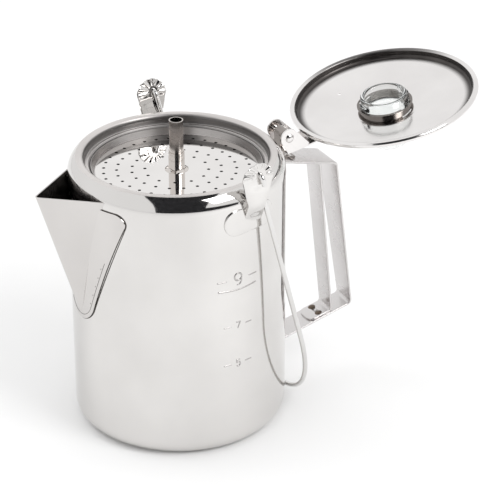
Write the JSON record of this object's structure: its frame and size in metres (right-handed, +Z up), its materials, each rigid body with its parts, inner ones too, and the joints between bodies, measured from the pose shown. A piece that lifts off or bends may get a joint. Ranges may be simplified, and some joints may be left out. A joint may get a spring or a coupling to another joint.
{
  "type": "camping coffee percolator",
  "caption": "Stainless camping coffee percolator: cylindrical pot with pointed spout, wire bail, strap handle, hinged lid with glass knob, pump tube, basket and spreader plate.",
  "frame": {"origin": "centre of the flat base, on the surface the pot stands on", "axes": "+Z up; +X towards the handle and the lid hinge, -X towards the spout; +Y towards the far bail ear"},
  "size_m": [0.3251, 0.1622, 0.215],
  "materials": {
    "polished_steel": "mirror polished",
    "satin_steel": "satin",
    "fastener_steel": "dull",
    "wire_steel": "bright drawn",
    "gasket": "matte silicone",
    "clear_glass": "clear"
  },
  "bodies": {
    "pot": {"pot_shell": "polished_steel", "mouth_ring": "polished_steel", "spout": "polished_steel", "handle_outer_strap": "satin_steel", "handle_inner_strap": "satin_steel", "handle_rivets": "fastener_steel", "bail_ear_near": "polished_steel", "bail_ear_far": "polished_steel", "hinge_bracket": "satin_steel", "bracket_rivets": "fastener_steel", "hinge_pin": "fastener_steel"},
    "bail": {"bail_wire": "wire_steel"},
    "lid": {"lid_shell": "polished_steel", "lid_hinge_leaf": "satin_steel", "knob_collar": "satin_steel", "knob_gasket": "gasket"},
    "knob": {"glass_knob": "clear_glass"},
    "stem": {"pump_tube": "satin_steel", "pump_bell": "satin_steel", "basket_stop": "satin_steel"},
    "basket": {"coffee_basket": "satin_steel", "basket_tube": "satin_steel"},
    "spreader": {"spreader_plate": "polished_steel", "tube_sleeve": "satin_steel"}
  },
  "joints": [
    {"name": "bail_swing", "type": "hinge", "parent": "pot", "child": "bail", "pos_m": [0.0207, 0, 0.2025], "axis": [0, -1, 0], "range_deg": [0, 270]},
    {"name": "lid_hinge", "type": "hinge", "parent": "pot", "child": "lid", "pos_m": [0.08, 0, 0.188], "axis": [0, 1, 0], "range_deg": [-168.5, 0]},
    {"name": "knob_twist", "type": "hinge", "parent": "lid", "child": "knob", "pos_m": [0.15956, 0, 0.19822], "axis": [0.1994, 0, -0.9799], "range_deg": [0, 60]},
    {"name": "stem_lift", "type": "slide", "parent": "pot", "child": "stem", "axis": [0, 0, 1], "range_m": [0, 0.21]},
    {"name": "basket_lift", "type": "slide", "parent": "stem", "child": "basket", "axis": [0, 0, 1], "range_m": [0, 0.1]},
    {"name": "spreader_lift", "type": "slide", "parent": "basket", "child": "spreader", "axis": [0, 0, 1], "range_m": [0, 0.05]}
  ]
}
